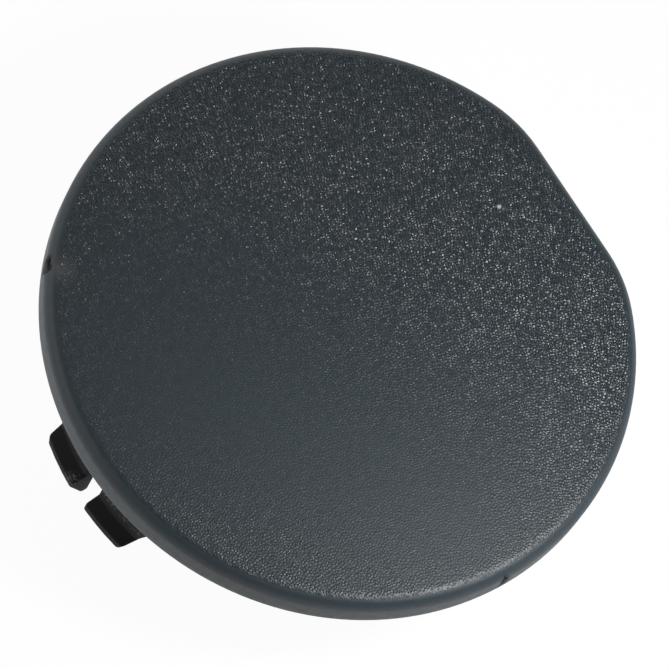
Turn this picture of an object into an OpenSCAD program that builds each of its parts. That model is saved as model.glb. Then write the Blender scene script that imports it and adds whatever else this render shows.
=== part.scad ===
// Snap-in screw cover cap: a round moulded cover with a flat on its edge and three pairs of snap hooks.
// The origin is the middle of the rim's seat, +Z points out of the grained face and the flat faces +X.

/* [Panel] */
// Diameter of the panel hole that the hooks snap into
hole_d = 29.6; // [26:0.1:36]
// Thickness of the panel between the rim's seat and the hooks
panel_t = 4; // [3:0.1:6]

/* [Cover] */
// Thickness of the plate inside the rim
plate_t = 1.5; // [1.2:0.05:2]
// How far the rim stands down past the plate
lip_h = 0.5; // [0.3:0.05:0.8]
// How far the rim overlaps the edge of the panel hole
rim_overlap = 1.2; // [1:0.05:2.5]
// Radius of the rounded edge between the face and the side wall
edge_r = 0.8; // [0.4:0.05:1.1]
// Radius that eases the outer edge of the rim's seat
seat_ease_r = 0.1; // [0.05:0.05:0.3]
// Slant of the wall inside the rim, measured along the plate
lip_draft = 0.3; // [0.1:0.05:0.5]

/* [Flat] */
// How deep the flat for a prying tool cuts into the round edge
flat_depth = 0.76; // [0.5:0.02:1]
// Radius that blends each end of the flat into the round edge
flat_blend_r = 8; // [5:0.5:10]

/* [Snap hooks] */
// Angle between neighbouring pairs of hooks
pair_spacing = 120; // [105:1:125]
// Width of a pair across its root
pair_root_w = 10; // [9:0.1:11]
// Width of a pair across its tips
pair_tip_w = 5.6; // [5:0.1:7]
// Width of the slot that splits a pair into two hooks
slot_w = 1.2; // [0.8:0.05:1.6]
// Distance from the seat to the rounded end of the slot
slot_root_h = 0.6; // [0.3:0.05:1]
// Thickness of a hook's leg
leg_t = 0.9; // [0.7:0.05:1.2]
// Radius of the fillet at the inner side of a leg's root
leg_root_r = 0.6; // [0.3:0.05:0.8]
// Flat left on the seat between the fillet and the inside of the rim
root_land = 0.4; // [0.2:0.05:0.8]
// How far a barb stands out past its leg
barb_reach = 0.7; // [0.4:0.05:1]
// Height over which the catch face slopes out to the barb's land
catch_h = 0.4; // [0.2:0.05:0.6]
// Height of the land, the upright outer band of a barb
land_h = 0.5; // [0.3:0.05:0.8]
// Height of the lead-in, from the land down to the tip
lead_h = 2; // [1.5:0.05:2.5]
// Width of the flat tip that a hook ends in
tip_w = 0.5; // [0.3:0.05:0.6]

/* [Fit] */
// Gap between a leg and the panel hole
hole_clear = 0.1; // [0.05:0.01:0.2]
// Gap between the catch face and the back of the panel
grip_clear = 0.1; // [0.05:0.01:0.2]

/* [Hidden] */
$fn = 96;
// How far joined shapes run into each other, and cuts past a face
lap = 0.3;
// How far the blends stand proud of the edge and the flat, so that they cross them and don't just touch
blend_proud = 0.03;

// The cover, from the seat at height 0 up to the face
cap_r = hole_d / 2 + rim_overlap;
rim_t = plate_t + lip_h;
side_h = rim_t - edge_r;

// Middle of the disc that blends the flat into the round edge, and its direction from the axis
flat_x = cap_r - flat_depth;
blend_x = flat_x - flat_blend_r + blend_proud;
blend_y = sqrt(pow(cap_r - flat_blend_r + blend_proud, 2) - pow(blend_x, 2));
blend_turn = atan2(blend_y, blend_x);

// Radii of the hooks
leg_out_r = hole_d / 2 - hole_clear;
leg_in_r = leg_out_r - leg_t;
barb_r = leg_out_r + barb_reach;
root_r = leg_in_r - leg_root_r;
lip_inset = cap_r - root_r + root_land;

// Heights of the hooks, down from the seat
catch_z = -panel_t - grip_clear;
land_top_z = catch_z - catch_h;
land_low_z = land_top_z - land_h;
tip_z = land_low_z - lead_h;
slot_end_z = -slot_root_h - slot_w / 2;
pair_angles = [for (i = [-1, 0, 1]) 180 + i * pair_spacing];

// Carries a section round the cap's outline, set in from it by inset. The section reaches from 0 to $reach.
module follow_outline(inset = 0) {
    // The round edge, open towards the flat
    let ($reach = cap_r - inset)
        rotate(blend_turn)
            rotate_extrude(angle = 360 - 2 * blend_turn)
                children();
    // The blends at the two ends of the flat
    let ($reach = flat_blend_r - inset)
        for (side = [-1, 1])
            translate([blend_x, side * blend_y, 0])
                rotate_extrude()
                    children();
    // The flat, with the middle of the cap behind it
    let ($reach = flat_x - inset)
        translate([0, blend_y, 0])
            rotate([90, 0, 0])
                linear_extrude(2 * blend_y)
                    children();
}

// Half section of the cover: the seat below, the side wall, and the rounded edge up to the face
module cover_section() {
    square([$reach - edge_r, rim_t]);
    square([$reach - seat_ease_r, side_h]);
    translate([0, seat_ease_r])
        square([$reach, side_h - seat_ease_r]);
    translate([$reach - edge_r, side_h])
        circle(edge_r);
    translate([$reach - seat_ease_r, seat_ease_r])
        circle(seat_ease_r);
}

// Half section of the hollow inside the rim, up to the underside of the plate
module hollow_section() {
    polygon([
        [0, -lap],
        [$reach, -lap],
        [$reach, 0],
        [$reach - lip_draft, lip_h],
        [0, lip_h]
    ]);
}

// Section of one hook: leg, sloped catch face, land, lead-in and tip, with a fillet at its inner root
module hook_section() {
    difference() {
        polygon([
            [root_r, lap],
            [leg_out_r, lap],
            [leg_out_r, catch_z],
            [barb_r, land_top_z],
            [barb_r, land_low_z],
            [leg_in_r + tip_w, tip_z],
            [leg_in_r, tip_z],
            [leg_in_r, -leg_root_r],
            [root_r, -leg_root_r]
        ]);
        translate([root_r, -leg_root_r])
            circle(leg_root_r);
    }
}

// A pair of hooks seen from outside: tapered towards the tips and split by a slot with a rounded end
module pair_front() {
    difference() {
        polygon([
            [-pair_root_w / 2, lap],
            [pair_root_w / 2, lap],
            [pair_root_w / 2, 0],
            [pair_tip_w / 2, tip_z],
            [-pair_tip_w / 2, tip_z],
            [-pair_root_w / 2, 0]
        ]);
        translate([-slot_w / 2, tip_z - lap])
            square([slot_w, slot_end_z - tip_z + lap]);
        translate([0, slot_end_z])
            circle(d = slot_w);
    }
}

// All pairs of hooks, cut out of one ring that has the hook's section
module hooks() {
    intersection() {
        rotate_extrude()
            hook_section();
        for (angle = pair_angles)
            rotate(angle)
                translate([leg_in_r / 2, 0, 0])
                    rotate([90, 0, 90])
                        linear_extrude(barb_r)
                            pair_front();
    }
}

module cap() {
    color([0.22, 0.24, 0.26]) {
        difference() {
            follow_outline()
                cover_section();
            follow_outline(lip_inset)
                hollow_section();
        }
        hooks();
    }
}

cap();
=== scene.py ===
import math

import bmesh
import bpy
import numpy as np
from mathutils import Matrix, Vector
from mathutils.geometry import delaunay_2d_cdt


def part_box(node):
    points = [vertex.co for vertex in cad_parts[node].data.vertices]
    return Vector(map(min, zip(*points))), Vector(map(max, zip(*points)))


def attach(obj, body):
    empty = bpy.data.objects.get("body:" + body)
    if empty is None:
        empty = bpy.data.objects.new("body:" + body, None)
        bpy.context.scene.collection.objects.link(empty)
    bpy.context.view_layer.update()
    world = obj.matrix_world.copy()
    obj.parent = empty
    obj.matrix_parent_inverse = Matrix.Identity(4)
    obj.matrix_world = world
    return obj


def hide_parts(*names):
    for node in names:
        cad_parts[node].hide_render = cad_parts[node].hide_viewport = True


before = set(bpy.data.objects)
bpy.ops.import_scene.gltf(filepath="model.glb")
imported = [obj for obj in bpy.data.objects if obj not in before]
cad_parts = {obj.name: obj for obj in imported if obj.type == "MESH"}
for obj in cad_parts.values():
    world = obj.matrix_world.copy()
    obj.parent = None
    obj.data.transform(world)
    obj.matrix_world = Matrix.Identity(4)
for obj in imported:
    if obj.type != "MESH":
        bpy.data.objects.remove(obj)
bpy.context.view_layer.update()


# The cover: the round disc that shows when the cap is fitted, moulded of dark plastic with its hooks.
# Its edge has one section all round: rounded top, plain wall, eased seat and a shallow hollow behind.
# The outline is a circle with a flat for a prying tool, blended into the circle at both ends.
MM = 0.001
cap_low, cap_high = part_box("cap")
face_z = cap_high.z
tip_z = cap_low.z
round_r = -cap_low.x
flat_x = round_r - 0.76 * MM
blend_r = 8.0 * MM
blend_x = flat_x - blend_r
blend_y = math.sqrt((round_r - blend_r) ** 2 - blend_x ** 2)
blend_turn = math.atan2(blend_y, blend_x)
outline_step = 0.6 * MM

edge_round_r = 0.8 * MM
seat_ease_r = 0.1 * MM
rim_w = 3.2 * MM
lip_h = 0.5 * MM
lip_draft = 0.3 * MM
lip_round_r = 0.1 * MM
plate_margin_w = 0.9 * MM
pebbled_inset = 0.37 * MM
section_step = 0.4 * MM
arc_step = 0.12 * MM
arc_pieces = 4

# Knocks on the edge, by their direction from the axis; the outline has closer points there
knock_angles = [math.radians(140.4), math.radians(269.1)]
knock_spread = math.radians(2.2)
knock_density = 14.0
fine_angles = 20000


def corner_arc(before, corner, after, radius):
    """Points of the arc that eases one corner of an outline."""
    to_before = (before - corner).normalized()
    to_after = (after - corner).normalized()
    half = to_before.angle(to_after) / 2
    centre = corner + (to_before + to_after).normalized() * (radius / math.sin(half))
    start = corner + to_before * (radius / math.tan(half)) - centre
    turn = math.pi - 2 * half
    if start.cross(to_before) > 0:
        turn = -turn
    steps = max(arc_pieces, math.ceil(abs(turn) * radius / arc_step))
    return [centre + Matrix.Rotation(turn * i / steps, 2) @ start for i in range(steps + 1)]


def eased(corners, step):
    """An open outline through corners of (x, y, radius), with each corner eased and long runs divided."""
    places = [Vector(corner[:2]) for corner in corners]
    points = [places[0]]
    for i in range(1, len(places)):
        if i == len(places) - 1:
            arc = [places[i]]
        else:
            arc = corner_arc(places[i - 1], places[i], places[i + 1], corners[i][2])
        pieces = max(1, math.ceil((arc[0] - points[-1]).length / step))
        points += [points[-1].lerp(arc[0], j / pieces) for j in range(1, pieces)]
        points += arc
    return points


def poly_curve(name, points, closed):
    """A curve object through flat points, in the row frame."""
    curve = bpy.data.curves.new(name, "CURVE")
    curve.dimensions = "3D"
    spline = curve.splines.new("POLY")
    spline.points.add(len(points) - 1)
    for place, point in zip(spline.points, points):
        place.co = (point[0], point[1], 0.0, 1.0)
    spline.use_cyclic_u = closed
    holder = bpy.data.objects.new(name, curve)
    bpy.context.scene.collection.objects.link(holder)
    return holder


def graded_angles(start, end, step):
    """Angles from start to end, closer together at the knocks."""
    fine = np.linspace(start, end, fine_angles)
    density = np.ones_like(fine)
    for angle in knock_angles:
        density += knock_density * np.exp(-(((fine - angle) / knock_spread) ** 2))
    run = np.concatenate([[0.0], np.cumsum((density[1:] + density[:-1]) / 2 * np.diff(fine))])
    return np.interp(np.linspace(0.0, run[-1], math.ceil(run[-1] / step) + 1), run, fine)


def cover_outline():
    """The cover's outline from above: round edge, blend, flat and blend, anticlockwise."""
    blend_steps = math.ceil(blend_turn * blend_r / outline_step)
    points = [
        Vector((math.cos(angle), math.sin(angle))) * round_r
        for angle in graded_angles(blend_turn, 2 * math.pi - blend_turn, outline_step / round_r)
    ]
    lower_blend = Vector((blend_x, -blend_y))
    for angle in np.linspace(-blend_turn, 0.0, blend_steps + 1)[1:]:
        points.append(lower_blend + Vector((math.cos(angle), math.sin(angle))) * blend_r)
    for y in np.linspace(-blend_y, blend_y, math.ceil(2 * blend_y / outline_step) + 1)[1:]:
        points.append(Vector((flat_x, y)))
    upper_blend = Vector((blend_x, blend_y))
    for angle in np.linspace(0.0, blend_turn, blend_steps + 1)[1:-1]:
        points.append(upper_blend + Vector((math.cos(angle), math.sin(angle))) * blend_r)
    return points


def tree_with(name, sockets):
    """A geometry tree with named inputs; gives the tree and the inputs by name."""
    tree = bpy.data.node_groups.new(name, "GeometryNodeTree")
    tree.interface.new_socket("Geometry", in_out="INPUT", socket_type="NodeSocketGeometry")
    inputs = {
        label: tree.interface.new_socket(label, in_out="INPUT", socket_type=kind)
        for label, kind in sockets.items()
    }
    tree.interface.new_socket("Geometry", in_out="OUTPUT", socket_type="NodeSocketGeometry")
    return tree, inputs


def grown_mesh(name, holder, tree, inputs, values):
    """Runs a geometry tree on an object and gives its result as a plain mesh."""
    growth = holder.modifiers.new(name, "NODES")
    growth.node_group = tree
    for label, value in values.items():
        growth[inputs[label].identifier] = value
    graph = bpy.context.evaluated_depsgraph_get()
    mesh = bpy.data.meshes.new_from_object(holder.evaluated_get(graph))
    mesh.name = name
    holder.modifiers.remove(growth)
    return mesh


def lead_out(tree, group_in, geometry):
    """Ends a geometry tree: makes its result real and gives it the plastic."""
    realize = tree.nodes.new("GeometryNodeRealizeInstances")
    plastic = tree.nodes.new("GeometryNodeSetMaterial")
    group_out = tree.nodes.new("NodeGroupOutput")
    tree.links.new(geometry, realize.inputs["Geometry"])
    tree.links.new(realize.outputs["Geometry"], plastic.inputs["Geometry"])
    tree.links.new(group_in.outputs["Plastic"], plastic.inputs["Material"])
    tree.links.new(plastic.outputs["Geometry"], group_out.inputs["Geometry"])


def carried_section_tree():
    """Carries a section, drawn as inset against height, round the outline that the tree is put on."""
    tree, inputs = tree_with(
        "carried_section", {"Section": "NodeSocketObject", "Plastic": "NodeSocketMaterial"}
    )
    nodes = tree.nodes
    group_in = nodes.new("NodeGroupInput")
    upright = nodes.new("GeometryNodeSetCurveNormal")
    upright.mode = "Z_UP"
    section = nodes.new("GeometryNodeObjectInfo")
    sweep = nodes.new("GeometryNodeCurveToMesh")
    link = tree.links.new
    link(group_in.outputs["Geometry"], upright.inputs["Curve"])
    link(group_in.outputs["Section"], section.inputs["Object"])
    link(upright.outputs["Curve"], sweep.inputs["Curve"])
    link(section.outputs["Geometry"], sweep.inputs["Profile Curve"])
    lead_out(tree, group_in, sweep.outputs["Mesh"])
    return tree, inputs


moulded_plastic = bpy.data.materials.new("dark_moulded_plastic")

whole_section = eased(
    [
        (plate_margin_w, face_z, 0.0),
        (0.0, face_z, edge_round_r),
        (0.0, 0.0, seat_ease_r),
        (rim_w, 0.0, lip_round_r),
        (rim_w + lip_draft, lip_h, lip_round_r),
        (rim_w + lip_draft + plate_margin_w, lip_h, 0.0),
    ],
    section_step,
)
rim_section = [p for p in whole_section if p.x <= pebbled_inset or p.y < face_z - edge_round_r]
section_curve = poly_curve("rim_section", [(-inset, -height) for inset, height in rim_section], False)
outline_curve = poly_curve("cover_outline", cover_outline(), True)
section_tree, section_inputs = carried_section_tree()
cover_mesh = grown_mesh(
    "cover", outline_curve, section_tree, section_inputs,
    {"Section": section_curve, "Plastic": moulded_plastic},
)

# The face and the underside of the plate close the two ends of the carried section
rows = len(rim_section)
rim_points = len(cover_mesh.vertices) // rows
cover = bmesh.new()
cover.from_mesh(cover_mesh)
cover.verts.ensure_lookup_table()
cover.faces.new([cover.verts[i * rows] for i in range(rim_points)])
cover.faces.new([cover.verts[i * rows + rows - 1] for i in reversed(range(rim_points))])
cover.to_mesh(cover_mesh)
cover.free()


# The snap hooks: three pairs under the rim, moulded with it, that snap behind the panel when it is fitted.
# Each pair is one tapered tongue, split by a slot with a rounded end. A hook is a leg with a sloped catch,
# an upright land and a lead-in that narrows to the tip.
leg_in_r = 13.8 * MM
leg_out_r = 14.7 * MM
barb_r = 15.4 * MM
root_fillet_r = 0.6 * MM
root_sink = 0.3 * MM
catch_z = -4.1 * MM
land_top_z = -4.5 * MM
land_low_z = -5.0 * MM
tip_w = 0.5 * MM
barb_round_r = 0.07 * MM
hook_edge_r = 0.18 * MM
hook_step = 1.2 * MM
least_edge_r = 0.004 * MM
quarter_turn = [math.radians(22.5 * i) for i in range(5)]
tip_turn = [math.radians(a) for a in (0.0, 22.5, 45.0, 67.5, 85.0)]

slot_half_w = 0.6 * MM
slot_end_z = -1.2 * MM
slot_top_gap = 0.001 * MM
slot_arc_degrees = range(6, 90, 6)
root_half_w = 5.0 * MM
tip_half_w = 2.8 * MM
pair_lap = 0.08 * MM
width_steps = 3
pair_count = 3
pair_spacing = math.radians(120)


def side_y(z):
    """How far the outer side of a pair stands from its middle, at a height."""
    return root_half_w + (tip_half_w - root_half_w) * min(1.0, max(0.0, z / tip_z))


def slot_y(z):
    """How far the slot's side stands from the pair's middle; above the slot the two hooks run together."""
    if z <= slot_end_z:
        return slot_half_w
    rise = (z - slot_end_z) / slot_half_w
    return slot_half_w * math.sqrt(1 - rise ** 2) if rise < 1 else -pair_lap


def leg_inside(z):
    """Radius of a leg's inner face at a height, with the fillet at its root."""
    if z >= 0:
        return leg_in_r - root_fillet_r
    if z <= -root_fillet_r:
        return leg_in_r
    return leg_in_r - root_fillet_r + math.sqrt(root_fillet_r ** 2 - (z + root_fillet_r) ** 2)


def hook_loop(z, outer_r, inset):
    """One level loop of a hook: outer face, slot side, inner face and outer side, with eased corners."""
    near, far = slot_y(z) + inset, side_y(z) - inset
    inner, outer = leg_inside(z) + inset, outer_r - inset
    edge = max(hook_edge_r - inset, least_edge_r)
    across = [near + edge + (far - near - 2 * edge) * i / width_steps for i in range(1, width_steps)]
    loop = [(outer - edge + edge * math.sin(a), far - edge + edge * math.cos(a)) for a in quarter_turn]
    loop += [(outer, y) for y in reversed(across)]
    loop += [(outer - edge + edge * math.cos(a), near + edge - edge * math.sin(a)) for a in quarter_turn]
    loop += [(inner + edge - edge * math.sin(a), near + edge - edge * math.cos(a)) for a in quarter_turn]
    loop += [(inner, y) for y in across]
    loop += [(inner + edge - edge * math.cos(a), far - edge + edge * math.sin(a)) for a in quarter_turn]
    return [Vector((-math.sqrt(r ** 2 - y ** 2), y, z)) for r, y in loop]


def hook_levels():
    """Heights of a hook's loops, with its outer radius there and the inset that rounds its tip."""
    side = eased(
        [
            (leg_out_r, root_sink, 0.0),
            (leg_out_r, catch_z, barb_round_r),
            (barb_r, land_top_z, barb_round_r),
            (barb_r, land_low_z, barb_round_r),
            (leg_in_r + tip_w, tip_z, 0.0),
        ],
        hook_step,
    )
    slot_arc = [slot_end_z + slot_half_w * math.sin(math.radians(a)) for a in slot_arc_degrees]
    slot_top = slot_end_z + slot_half_w + slot_top_gap
    heights = sorted({z for _, z in side} | set(slot_arc) | {slot_top}, reverse=True)
    drop_z = [-z for _, z in side]
    side_rs = [r for r, _ in side]
    outer_rs = np.interp([-z for z in heights], drop_z, side_rs)
    levels = [(z, r, 0.0) for z, r in zip(heights, outer_rs) if z > tip_z + hook_edge_r]
    for a in tip_turn:
        drop = hook_edge_r * (1 - math.sin(a))
        inset = hook_edge_r * (1 - math.cos(a))
        z = tip_z + drop
        levels.append((z, float(np.interp(-z, drop_z, side_rs)), inset))
    return levels


def lofted(loops):
    """A closed mesh through like loops, with a face at each end."""
    body = bmesh.new()
    rings = [[body.verts.new(point) for point in loop] for loop in loops]
    count = len(rings[0])
    for upper, lower in zip(rings, rings[1:]):
        for i in range(count):
            j = (i + 1) % count
            body.faces.new([upper[i], upper[j], lower[j], lower[i]])
    body.faces.new(rings[0])
    body.faces.new(list(reversed(rings[-1])))
    bmesh.ops.recalc_face_normals(body, faces=body.faces)
    return body


def mesh_object(name, mesh):
    """A linked object that holds a mesh, at the origin."""
    holder = bpy.data.objects.new(name, mesh)
    bpy.context.scene.collection.objects.link(holder)
    return holder


def joined(base, other):
    """The mesh of two closed objects fused into one."""
    fuse = base.modifiers.new("fuse", "BOOLEAN")
    fuse.operation = "UNION"
    fuse.solver = "EXACT"
    fuse.object = other
    graph = bpy.context.evaluated_depsgraph_get()
    mesh = bpy.data.meshes.new_from_object(base.evaluated_get(graph))
    base.modifiers.remove(fuse)
    return mesh


hook = lofted([hook_loop(*level) for level in hook_levels()])
one_hook_mesh = bpy.data.meshes.new("one_hook")
hook.to_mesh(one_hook_mesh)
for vertex in hook.verts:
    vertex.co.y = -vertex.co.y
bmesh.ops.reverse_faces(hook, faces=hook.faces)
other_hook_mesh = bpy.data.meshes.new("other_hook")
hook.to_mesh(other_hook_mesh)
hook.free()
one_hook = mesh_object("one_hook", one_hook_mesh)
other_hook = mesh_object("other_hook", other_hook_mesh)
pair = mesh_object("hook_pair", joined(one_hook, other_hook))


def repeated_pairs_tree():
    """Sets the pair of hooks that the tree is put on at even turns round the axis."""
    tree, inputs = tree_with(
        "repeated_pairs",
        {"Pairs": "NodeSocketInt", "Spacing": "NodeSocketFloat", "Plastic": "NodeSocketMaterial"},
    )
    nodes = tree.nodes
    group_in = nodes.new("NodeGroupInput")
    stations = nodes.new("GeometryNodePoints")
    index = nodes.new("GeometryNodeInputIndex")
    turn = nodes.new("ShaderNodeMath")
    turn.operation = "MULTIPLY"
    about_axis = nodes.new("ShaderNodeCombineXYZ")
    place = nodes.new("GeometryNodeInstanceOnPoints")
    link = tree.links.new
    link(group_in.outputs["Pairs"], stations.inputs["Count"])
    link(index.outputs["Index"], turn.inputs[0])
    link(group_in.outputs["Spacing"], turn.inputs[1])
    link(turn.outputs["Value"], about_axis.inputs["Z"])
    link(stations.outputs["Points"], place.inputs["Points"])
    link(group_in.outputs["Geometry"], place.inputs["Instance"])
    link(about_axis.outputs["Vector"], place.inputs["Rotation"])
    lead_out(tree, group_in, place.outputs["Instances"])
    return tree, inputs


pairs_tree, pairs_inputs = repeated_pairs_tree()
hooks = mesh_object(
    "hooks",
    grown_mesh(
        "hooks", pair, pairs_tree, pairs_inputs,
        {"Pairs": pair_count, "Spacing": pair_spacing, "Plastic": moulded_plastic},
    ),
)
cover_holder = mesh_object("cover", cover_mesh)
moulding_mesh = joined(cover_holder, hooks)
for spare in (section_curve, outline_curve, one_hook, other_hook, pair, hooks, cover_holder):
    bpy.data.objects.remove(spare)


# The moulding: cover and hooks leave the mould as one piece, so they are one mesh with one plastic.
# The mould's eroded grain leaves pebbles on the face and over part of the rounded edge; the rest is smooth.
# Handling has worn the grain towards the near side, and left two knocks on the edge and a speck on the face.
grain_fade_w = 0.35 * MM
pebble_gap = 0.126 * MM
pebble_tries = 4.0e8
pebble_border_share = 0.6
inset_slack = 0.02 * MM
upward_least = 0.9
inside_border = 1
merge_gap = 1e-6
grain_relief = 0.05 * MM
pit_depth_share = 0.6
uneven_depth_share = 0.4
grain_seed = 7
flat_facet_share = 0.2
sharp_angle = math.radians(35)
worn_from = np.array([-9.5, 0.0]) * MM
worn_to = np.array([-2.0, -11.5]) * MM
worn_fade_w = 13.5 * MM
worn_fall = 1.6
least_left = 0.22


def edge_distance(x, y):
    """How far points lie inside the cover's outline, seen from above."""
    beside = np.abs(y)
    in_round = np.arctan2(beside, x) >= blend_turn
    in_flat = (beside <= blend_y) & (x > 0)
    from_blend = blend_r - np.hypot(x - blend_x, beside - blend_y)
    return np.where(in_round, round_r - np.hypot(x, y), np.where(in_flat, flat_x - x, from_blend))


def top_height(inset):
    """Height of the face, and of the rounded edge outside it, at distances inside the outline."""
    past = np.clip(edge_round_r - inset, 0.0, edge_round_r)
    return face_z - edge_round_r + np.sqrt(edge_round_r ** 2 - past ** 2)


def scattered_points_tree():
    """Scatters points over the mesh that the tree is put on, none closer to the next than the gap."""
    tree, inputs = tree_with(
        "scattered_points",
        {
            "Gap": "NodeSocketFloat", "Tries": "NodeSocketFloat",
            "Seed": "NodeSocketInt", "Plastic": "NodeSocketMaterial",
        },
    )
    nodes = tree.nodes
    group_in = nodes.new("NodeGroupInput")
    scatter = nodes.new("GeometryNodeDistributePointsOnFaces")
    scatter.distribute_method = "POISSON"
    marks = nodes.new("GeometryNodePointsToVertices")
    link = tree.links.new
    link(group_in.outputs["Geometry"], scatter.inputs["Mesh"])
    link(group_in.outputs["Gap"], scatter.inputs["Distance Min"])
    link(group_in.outputs["Tries"], scatter.inputs["Density Max"])
    link(group_in.outputs["Seed"], scatter.inputs["Seed"])
    link(scatter.outputs["Points"], marks.inputs["Points"])
    lead_out(tree, group_in, marks.outputs["Mesh"])
    return tree, inputs


# The plain face gives way to pebbles: a peak at each scattered point, with pits between the peaks
shell = bmesh.new()
shell.from_mesh(moulding_mesh)
pit_mark = shell.verts.layers.float.new("pit")
plain_face = max((f for f in shell.faces if f.normal.z > upward_least), key=lambda f: len(f.verts))
border = list(plain_face.verts)
plain_mesh = bpy.data.meshes.new("plain_face")
plain_mesh.from_pydata([v.co[:] for v in border], [], [list(range(len(border)))])
plain_holder = mesh_object("plain_face", plain_mesh)
scatter_tree, scatter_inputs = scattered_points_tree()
peak_mesh = grown_mesh(
    "peaks", plain_holder, scatter_tree, scatter_inputs,
    {"Gap": pebble_gap, "Tries": pebble_tries, "Seed": grain_seed, "Plastic": moulded_plastic},
)
bpy.data.objects.remove(plain_holder)
peaks = np.array([v.co[:2] for v in peak_mesh.vertices])
peaks = peaks[edge_distance(peaks[:, 0], peaks[:, 1]) > pebbled_inset + pebble_border_share * pebble_gap]
corners = [Vector((v.co.x, v.co.y)) / MM for v in border] + [Vector(peak) / MM for peak in peaks]
cells = delaunay_2d_cdt(corners, [], [list(range(len(border)))], inside_border, merge_gap)
shell.faces.remove(plain_face)
peaks = np.array([c[:] for c in cells[0][len(border):]]) * MM
peak_z = top_height(edge_distance(peaks[:, 0], peaks[:, 1]))
cell_verts = border + [shell.verts.new((x, y, z)) for (x, y), z in zip(peaks, peak_z)]
cell_faces = [shell.faces.new([cell_verts[i] for i in cell]) for cell in cells[2]]
for face in cell_faces:
    face.tag = True
between_peaks = [e for e in shell.edges if len(e.link_faces) == 2 and all(f.tag for f in e.link_faces)]
for pit in bmesh.ops.poke(shell, faces=cell_faces)["verts"]:
    pit[pit_mark] = 1.0
bmesh.ops.rotate_edges(shell, edges=between_peaks)
shell.to_mesh(moulding_mesh)
shell.free()

places = np.empty(len(moulding_mesh.vertices) * 3)
moulding_mesh.vertices.foreach_get("co", places)
places = places.reshape(-1, 3)
inside = edge_distance(places[:, 0], places[:, 1])
on_face = (inside > pebbled_inset - inset_slack) & (places[:, 2] > face_z - edge_round_r)
worn_run = worn_to - worn_from
along_run = np.clip((places[:, :2] - worn_from) @ worn_run / (worn_run @ worn_run), 0.0, 1.0)
from_worn = np.linalg.norm(places[:, :2] - worn_from - np.outer(along_run, worn_run), axis=1)
left = least_left + (1.0 - least_left) * np.clip(from_worn / worn_fade_w, 0.0, 1.0) ** worn_fall
grain_share = np.where(on_face, np.clip((inside - pebbled_inset) / grain_fade_w, 0.0, 1.0), 0.0)
grain_mark = moulding_mesh.attributes.new("grain", "FLOAT", "POINT")
grain_mark.data.foreach_set("value", grain_share * left)


def eroded_grain_tree():
    """Sinks the points of a mesh by uneven depths, by the share that its "grain" gives."""
    tree, inputs = tree_with(
        "eroded_grain",
        {"Relief": "NodeSocketFloat", "Seed": "NodeSocketInt", "Plastic": "NodeSocketMaterial"},
    )
    nodes = tree.nodes
    group_in = nodes.new("NodeGroupInput")
    share = nodes.new("GeometryNodeInputNamedAttribute")
    share.data_type = "FLOAT"
    share.inputs["Name"].default_value = "grain"
    chance = nodes.new("FunctionNodeRandomValue")
    chance.data_type = "FLOAT"
    low = nodes.new("GeometryNodeInputNamedAttribute")
    low.data_type = "FLOAT"
    low.inputs["Name"].default_value = "pit"
    uneven = nodes.new("ShaderNodeMath")
    uneven.operation = "MULTIPLY"
    uneven.inputs[1].default_value = uneven_depth_share
    lowered = nodes.new("ShaderNodeMath")
    lowered.operation = "MULTIPLY_ADD"
    lowered.inputs[1].default_value = pit_depth_share
    depth = nodes.new("ShaderNodeMath")
    depth.operation = "MULTIPLY"
    sink = nodes.new("ShaderNodeMath")
    sink.operation = "MULTIPLY"
    sunk = nodes.new("ShaderNodeMath")
    sunk.operation = "MULTIPLY"
    sunk.inputs[1].default_value = -1.0
    downward = nodes.new("ShaderNodeCombineXYZ")
    move = nodes.new("GeometryNodeSetPosition")
    link = tree.links.new
    link(group_in.outputs["Seed"], chance.inputs["Seed"])
    link(chance.outputs[1], uneven.inputs[0])
    link(low.outputs["Attribute"], lowered.inputs[0])
    link(uneven.outputs["Value"], lowered.inputs[2])
    link(lowered.outputs["Value"], depth.inputs[0])
    link(group_in.outputs["Relief"], depth.inputs[1])
    link(depth.outputs["Value"], sink.inputs[0])
    link(share.outputs["Attribute"], sink.inputs[1])
    link(sink.outputs["Value"], sunk.inputs[0])
    link(sunk.outputs["Value"], downward.inputs["Z"])
    link(group_in.outputs["Geometry"], move.inputs["Geometry"])
    link(downward.outputs["Vector"], move.inputs["Offset"])
    lead_out(tree, group_in, move.outputs["Geometry"])
    return tree, inputs


grain_tree, grain_inputs = eroded_grain_tree()
smooth_moulding = mesh_object("smooth_moulding", moulding_mesh)
moulding_mesh = grown_mesh(
    "moulded_cap", smooth_moulding, grain_tree, grain_inputs,
    {"Relief": grain_relief, "Seed": grain_seed, "Plastic": moulded_plastic},
)
bpy.data.objects.remove(smooth_moulding)
moulding = mesh_object("moulded_cap", moulding_mesh)
moulding_mesh.materials.clear()
moulding_mesh.materials.append(moulded_plastic)
moulding_mesh.set_sharp_from_angle(angle=sharp_angle)
pebbled = grain_share > flat_facet_share
smooth_face = [not all(pebbled[i] for i in polygon.vertices) for polygon in moulding_mesh.polygons]
moulding_mesh.polygons.foreach_set("use_smooth", smooth_face)

moulding_mesh.vertices.foreach_get("co", places.ravel())
knock_shade_share = np.zeros(len(places))
dent_power = 0.6
coarse_ragged = 0.16
coarse_waves = 3
fine_ragged = 0.10
fine_waves = 5
burr_reach = 1.12
burr_w = 0.16
burr_share = 0.03
press_in = 0.8
press_down = 0.6
knock_shade_reach = 1.2
knock_shade_fade = 0.35


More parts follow.
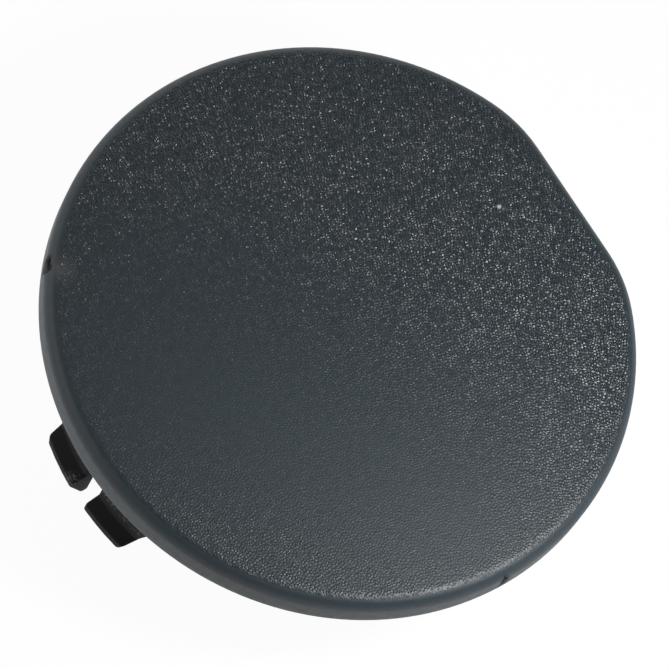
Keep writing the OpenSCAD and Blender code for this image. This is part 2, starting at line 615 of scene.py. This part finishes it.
def knocked(angle, height, inset, along, across, depth):
    """Presses a ragged knock into the edge, with painted shade in it: its place, its half sizes and its
    depth.
    """
    outward = np.array([math.cos(angle), math.sin(angle), 0.0])
    sideways = np.array([-math.sin(angle), math.cos(angle), 0.0])
    middle = outward * (round_r - inset) + np.array([0.0, 0.0, height])
    offset = places - middle
    run = offset @ sideways
    rest = offset - np.outer(run, sideways)
    turn = np.arctan2(offset[:, 2] / across, run / along)
    ragged = 1.0 + coarse_ragged * np.sin(coarse_waves * turn + angle)
    ragged = ragged + fine_ragged * np.sin(fine_waves * turn + 2 * angle)
    reach = ragged * np.sqrt((run / along) ** 2 + ((rest ** 2).sum(1)) / across ** 2)
    dent = np.clip(1.0 - reach ** 2, 0.0, 1.0) ** dent_power
    burr = np.exp(-(((reach - burr_reach) / burr_w) ** 2)) * burr_share
    inward = outward * press_in + np.array([0.0, 0.0, press_down])
    places[:] = places - np.outer((dent - burr) * depth, inward)
    # The knock's share of painted shade, for the shadow in its hollow
    knock_shade_share[:] = np.maximum(knock_shade_share, np.clip((knock_shade_reach - reach) / knock_shade_fade, 0.0, 1.0))


knocked(
    knock_angles[0], height=1.42 * MM, inset=0.04 * MM,
    along=0.48 * MM, across=0.40 * MM, depth=0.32 * MM,
)
knocked(
    knock_angles[1], height=0.95 * MM, inset=0.0,
    along=0.26 * MM, across=0.62 * MM, depth=0.28 * MM,
)
moulding_mesh.vertices.foreach_set("co", places.ravel())
knock_shade_mark = moulding_mesh.attributes.new("knock_shade", "FLOAT", "POINT")
knock_shade_mark.data.foreach_set("value", knock_shade_share)
moulding_mesh.update()

plastic_tone = (0.022, 0.034, 0.042, 1.0)
pebble_tone = (0.012, 0.022, 0.028, 1.0)
# Painted shade: the pits between the pebbles are darker, for the shade that falls in them
pit_shade_tone = (0.004, 0.009, 0.013, 1.0)
# Painted shade: the hooks near black, for the shadow they stand in under the rim
hook_shade_tone = (0.007, 0.007, 0.009, 1.0)
rub_tone = (0.060, 0.060, 0.061, 1.0)
# Pale tone of the dust speck and the chafe, and of the painted glints on the legs
dust_and_glint_tone = (0.42, 0.44, 0.43, 1.0)
# Painted shade: near black in the knocks, for the shadow in their hollows
knock_shade_tone = (0.004, 0.0045, 0.005, 1.0)
hook_shade_from_z = -0.15 * MM
tone_fade_share = 0.15
skin_depth = 0.005 * MM
smooth_roughness_extra = 0.11
hook_roughness = 0.9

# Marks of use, and the painted glints on the legs: where they lie and how they fade out
speck_place = (11.08 * MM, 1.48 * MM, face_z)
speck_r = 0.07 * MM
speck_fade_w = 0.08 * MM
chafe_place = (-15.25 * MM, 0.85 * MM, -4.6 * MM)
chafe_r = 0.35 * MM
chafe_fade_w = 0.25 * MM
rub_angle = math.radians(141.5)
rub_from_axis = round_r - 0.7 * MM
rub_place = (rub_from_axis * math.cos(rub_angle), rub_from_axis * math.sin(rub_angle), face_z)
rub_r = 0.8 * MM
rub_core_share = 0.3
# Painted glints: pale specks in a band on the legs of one pair, just below the rim's lower edge
leg_glint_low_z = (-3.7 * MM, -3.3 * MM)
leg_glint_high_z = (-2.8 * MM, -2.4 * MM)
glinting_pair_x = (-12.5 * MM, -11.5 * MM)

# Random clouds by features per metre, detail and roughness, with the levels that some are mapped from and to
skin_cloud = (9000.0, 1.0, 0.5)
patch_cloud = (700.0, 3.0, 0.55)
leg_glint_cloud = (7000.0, 2.0, 0.6)
leg_glint_levels = (0.6, 0.68, 0.0, 0.5)
chafe_cloud = (9000.0, 2.0, 0.6)
chafe_levels = (0.47, 0.57, 0.0, 0.3)
knock_shade_cloud = (5000.0, 2.0, 0.5)
knock_shade_levels = (0.3, 0.5, 0.7, 1.0)
speck_cloud = (9000.0, 1.0, 0.5)
speck_levels = (0.3, 0.6, 0.7, 1.0)
roughness_cloud = (2500.0, 3.0, 0.6)
roughness_levels = (0.3, 0.7, 0.35, 0.43)

moulded_plastic.use_nodes = True
finish_nodes = moulded_plastic.node_tree.nodes
finish_links = moulded_plastic.node_tree.links
plastic_shader = finish_nodes["Principled BSDF"]
plastic_shader.inputs["Specular IOR Level"].default_value = 0.5
in_object = finish_nodes.new("ShaderNodeTexCoord").outputs["Object"]


def math_step(operation, first, second=None):
    """A sum on two values, each a socket or a number."""
    step = finish_nodes.new("ShaderNodeMath")
    step.operation = operation
    for socket, value in zip(step.inputs, (first, second)):
        if isinstance(value, bpy.types.NodeSocket):
            finish_links.new(value, socket)
        elif value is not None:
            socket.default_value = value
    return step.outputs["Value"]


def cloud(scale, detail, roughness):
    """Soft random cloud over the piece, by its features per metre."""
    noise = finish_nodes.new("ShaderNodeTexNoise")
    noise.inputs["Scale"].default_value = scale
    noise.inputs["Detail"].default_value = detail
    noise.inputs["Roughness"].default_value = roughness
    finish_links.new(in_object, noise.inputs["Vector"])
    return noise.outputs["Fac"]


def ramped(value, low, high, to_low, to_high):
    """Maps a value's range onto another, held at both ends."""
    ramp = finish_nodes.new("ShaderNodeMapRange")
    for label, number in (("From Min", low), ("From Max", high), ("To Min", to_low), ("To Max", to_high)):
        ramp.inputs[label].default_value = number
    finish_links.new(value, ramp.inputs["Value"])
    return ramp.outputs["Result"]


def spot(place, radius, softness):
    """A round mark about a place: 1 inside the radius, 0 past the softness."""
    gap = finish_nodes.new("ShaderNodeVectorMath")
    gap.operation = "DISTANCE"
    gap.inputs[1].default_value = place
    finish_links.new(in_object, gap.inputs[0])
    return ramped(gap.outputs["Value"], radius, radius + softness, 1.0, 0.0)


def tinted(share, below, above):
    """Mixes two colours, each a socket or a colour, by a share."""
    mix = finish_nodes.new("ShaderNodeMix")
    mix.data_type = "RGBA"
    finish_links.new(share, mix.inputs["Factor"])
    for socket, colour in ((mix.inputs["A"], below), (mix.inputs["B"], above)):
        if isinstance(colour, bpy.types.NodeSocket):
            finish_links.new(colour, socket)
        else:
            socket.default_value = colour
    return mix.outputs["Result"]


grain_mask = finish_nodes.new("ShaderNodeAttribute")
grain_mask.attribute_name = "grain"
grain_mask = grain_mask.outputs["Fac"]
axes = finish_nodes.new("ShaderNodeSeparateXYZ")
finish_links.new(in_object, axes.inputs["Vector"])
upper_z = axes.outputs["Z"]

skin = finish_nodes.new("ShaderNodeBump")
skin.inputs["Strength"].default_value = 1.0
skin.inputs["Distance"].default_value = skin_depth
finish_links.new(cloud(*skin_cloud), skin.inputs["Height"])
finish_links.new(skin.outputs["Normal"], plastic_shader.inputs["Normal"])

# Colour: painted shade between the pebbles and, near black, on the hooks under the rim; paler where it is
# rubbed, chafed or dusty; painted glints as pale specks on the legs; painted shade in the knocks
# Painted shade on the hooks, from just below the rim downwards
hook_share = ramped(upper_z, hook_shade_from_z, 0.0, 1.0, 0.0)
on_leg = math_step(
    "MULTIPLY",
    ramped(upper_z, *leg_glint_low_z, 0.0, 1.0),
    ramped(upper_z, *leg_glint_high_z, 1.0, 0.0),
)
on_leg = math_step("MULTIPLY", on_leg, ramped(axes.outputs["X"], *glinting_pair_x, 1.0, 0.0))
# Painted glints on the legs, as sparse pale specks
leg_glint = math_step("MULTIPLY", on_leg, ramped(cloud(*leg_glint_cloud), *leg_glint_levels))
chafe = math_step(
    "MULTIPLY",
    spot(chafe_place, chafe_r, chafe_fade_w),
    ramped(cloud(*chafe_cloud), *chafe_levels),
)
patchy = cloud(*patch_cloud)
pit_share = finish_nodes.new("ShaderNodeAttribute")
pit_share.attribute_name = "pit"
# Painted shade in the pits, as strong as the grain is there
depth = math_step("MULTIPLY", pit_share.outputs["Fac"], grain_mask)
on_grain = ramped(grain_mask, 0.0, tone_fade_share, 0.0, 1.0)
tone = tinted(on_grain, plastic_tone, tinted(depth, pebble_tone, pit_shade_tone))
tone = tinted(hook_share, tone, hook_shade_tone)
# Pale chafe on one hook, and the painted glints on the legs
tone = tinted(math_step("MAXIMUM", leg_glint, chafe), tone, dust_and_glint_tone)
tone = tinted(math_step("MULTIPLY", spot(rub_place, rub_core_share * rub_r, rub_r), patchy), tone, rub_tone)
# Painted shade in the knocks, broken up by a cloud
knock_shade_attribute = finish_nodes.new("ShaderNodeAttribute")
knock_shade_attribute.attribute_name = "knock_shade"
knock_shade = math_step("MULTIPLY", knock_shade_attribute.outputs["Fac"], ramped(cloud(*knock_shade_cloud), *knock_shade_levels))
tone = tinted(knock_shade, tone, knock_shade_tone)
speck = math_step(
    "MULTIPLY",
    spot(speck_place, speck_r, speck_fade_w),
    ramped(cloud(*speck_cloud), *speck_levels),
)
tone = tinted(speck, tone, dust_and_glint_tone)
finish_links.new(tone, plastic_shader.inputs["Base Color"])

# Roughness: patchy on the grain, duller where the face is smooth or worn, dullest on hooks and in the knocks
roughness = ramped(cloud(*roughness_cloud), *roughness_levels)
worn_off = math_step("SUBTRACT", 1.0, grain_mask)
roughness = math_step("ADD", roughness, math_step("MULTIPLY", worn_off, smooth_roughness_extra))
dull = math_step("MULTIPLY", math_step("MAXIMUM", hook_share, knock_shade), hook_roughness)
roughness = math_step("MAXIMUM", roughness, dull)
finish_links.new(roughness, plastic_shader.inputs["Roughness"])

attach(moulding, "root")
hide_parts("cap")


# The stage: a plain pale floor that the cap stands on with its hook tips, and soft studio light.
# The world is a pale room with a dim ceiling, dimmer on one side. A small key lamp stands at the lower right
# of the picture, a weak fill lamp at the far side, and two low lamps light the rounded edge.
floor_half_w = 1500 * MM
floor_tone = (0.9, 0.9, 0.9, 1.0)
floor_glow_share = 0.96
room_low_tone = (0.85, 0.85, 0.85, 1.0)
room_low_at = 0.05
room_high_tone = (0.12, 0.12, 0.12, 1.0)
room_high_at = 0.5
dim_angle = math.radians(255)
dim_span = (-0.9, 0.7)
bright_strength = 1.3
dim_strength = 0.35
floor_mesh = bpy.data.meshes.new("floor")
floor_corners = [(-1, -1), (1, -1), (1, 1), (-1, 1)]
floor_points = [(x * floor_half_w, y * floor_half_w, tip_z) for x, y in floor_corners]
floor_mesh.from_pydata(floor_points, [], [(0, 1, 2, 3)])
floor = mesh_object("floor", floor_mesh)

floor_paint = bpy.data.materials.new("pale_floor")
floor_paint.use_nodes = True
paint_nodes = floor_paint.node_tree.nodes
paint_links = floor_paint.node_tree.links
paint_nodes.clear()
matte = paint_nodes.new("ShaderNodeBsdfDiffuse")
matte.inputs["Color"].default_value = floor_tone
glow = paint_nodes.new("ShaderNodeEmission")
glow.inputs["Strength"].default_value = 1.0
rays = paint_nodes.new("ShaderNodeLightPath")
seen = paint_nodes.new("ShaderNodeMath")
seen.operation = "MAXIMUM"
seen_too = paint_nodes.new("ShaderNodeMath")
seen_too.operation = "MAXIMUM"
share = paint_nodes.new("ShaderNodeMath")
share.operation = "MULTIPLY"
share.inputs[1].default_value = floor_glow_share
blend_paint = paint_nodes.new("ShaderNodeMixShader")
paint_out = paint_nodes.new("ShaderNodeOutputMaterial")
paint_links.new(rays.outputs["Is Camera Ray"], seen.inputs[0])
paint_links.new(rays.outputs["Is Glossy Ray"], seen.inputs[1])
paint_links.new(seen.outputs["Value"], seen_too.inputs[0])
paint_links.new(rays.outputs["Is Transmission Ray"], seen_too.inputs[1])
paint_links.new(seen_too.outputs["Value"], share.inputs[0])
paint_links.new(share.outputs["Value"], blend_paint.inputs["Fac"])
paint_links.new(matte.outputs["BSDF"], blend_paint.inputs[1])
paint_links.new(glow.outputs["Emission"], blend_paint.inputs[2])
paint_links.new(blend_paint.outputs["Shader"], paint_out.inputs["Surface"])
floor_mesh.materials.append(floor_paint)

world = bpy.data.worlds.new("pale_room")
bpy.context.scene.world = world
world.use_nodes = True
room_nodes = world.node_tree.nodes
room_links = world.node_tree.links
room_light = room_nodes["Background"]
where = room_nodes.new("ShaderNodeTexCoord")
height = room_nodes.new("ShaderNodeSeparateXYZ")
room_tone = room_nodes.new("ShaderNodeValToRGB")
room_tone.color_ramp.elements[0].position = room_low_at
room_tone.color_ramp.elements[0].color = room_low_tone
room_tone.color_ramp.elements[1].position = room_high_at
room_tone.color_ramp.elements[1].color = room_high_tone
room_links.new(where.outputs["Generated"], height.inputs["Vector"])
room_links.new(height.outputs["Z"], room_tone.inputs["Fac"])
room_links.new(room_tone.outputs["Color"], room_light.inputs["Color"])
toward_dim = room_nodes.new("ShaderNodeVectorMath")
toward_dim.operation = "DOT_PRODUCT"
toward_dim.inputs[1].default_value = (math.cos(dim_angle), math.sin(dim_angle), 0.0)
room_strength = room_nodes.new("ShaderNodeMapRange")
room_strength.inputs["From Min"].default_value = dim_span[0]
room_strength.inputs["From Max"].default_value = dim_span[1]
room_strength.inputs["To Min"].default_value = bright_strength
room_strength.inputs["To Max"].default_value = dim_strength
room_links.new(where.outputs["Generated"], toward_dim.inputs[0])
room_links.new(toward_dim.outputs["Value"], room_strength.inputs["Value"])
room_links.new(room_strength.outputs["Result"], room_light.inputs["Strength"])


def soft_lamp(name, direction, elevation, distance, width, height, watts):
    """A soft lamp that stands in a direction from the axis and shines on the cap's middle."""
    lamp = bpy.data.lights.new(name, "AREA")
    lamp.shape = "RECTANGLE"
    lamp.size = width
    lamp.size_y = height
    lamp.energy = watts
    holder = bpy.data.objects.new(name, lamp)
    bpy.context.scene.collection.objects.link(holder)
    level = math.cos(elevation)
    back = Vector((math.cos(direction) * level, math.sin(direction) * level, math.sin(elevation)))
    holder.location = back * distance
    holder.rotation_mode = "QUATERNION"
    holder.rotation_quaternion = (-back).to_track_quat("-Z", "Y")


soft_lamp(
    "key_lamp", direction=math.radians(294), elevation=math.radians(55),
    distance=56 * MM, width=12 * MM, height=12 * MM, watts=0.038,
)
soft_lamp(
    "fill_lamp", direction=math.radians(95), elevation=math.radians(60),
    distance=75 * MM, width=40 * MM, height=40 * MM, watts=0.003,
)
soft_lamp(
    "side_lamp", direction=math.radians(142), elevation=math.radians(23),
    distance=90 * MM, width=90 * MM, height=30 * MM, watts=0.014,
)
soft_lamp(
    "back_lamp", direction=math.radians(62), elevation=math.radians(25),
    distance=90 * MM, width=130 * MM, height=25 * MM, watts=0.015,
)


# The camera: the photograph's view, from above the near edge of the cap, with the face turned on its side.
# Its direction, scale and shift are fitted to the outline and the hooks in the photograph.
near_angle = math.radians(206.85)
tilt = math.radians(26.85)
camera_distance = 300 * MM
near_in_picture = math.radians(122.2)
picture_w = 668
sensor_mm = 36.0
pixels_per_mm = 19.02
middle_px = (337.1, 333.9)

camera_data = bpy.data.cameras.new("camera")
camera = bpy.data.objects.new("camera", camera_data)
bpy.context.scene.collection.objects.link(camera)
bpy.context.scene.camera = camera
near = Vector((math.cos(near_angle), math.sin(near_angle), 0.0))
back = near * math.sin(tilt) + Vector((0.0, 0.0, math.cos(tilt)))
near_seen = (near - back * near.dot(back)).normalized()
beside_seen = back.cross(near_seen)
right = near_seen * math.cos(near_in_picture) + beside_seen * math.sin(near_in_picture)
up = -near_seen * math.sin(near_in_picture) + beside_seen * math.cos(near_in_picture)
camera.rotation_mode = "QUATERNION"
camera.rotation_quaternion = Matrix((right, up, back)).transposed().to_quaternion()
camera.location = back * camera_distance
camera_data.sensor_width = sensor_mm
camera_data.lens = pixels_per_mm * camera_distance / MM * sensor_mm / picture_w
camera_data.shift_x = -(middle_px[0] - picture_w / 2) / picture_w
camera_data.shift_y = (middle_px[1] - picture_w / 2) / picture_w
camera_data.clip_start = 1 * MM
camera_data.clip_end = 10000 * MM

bpy.context.scene.view_settings.view_transform = "Standard"
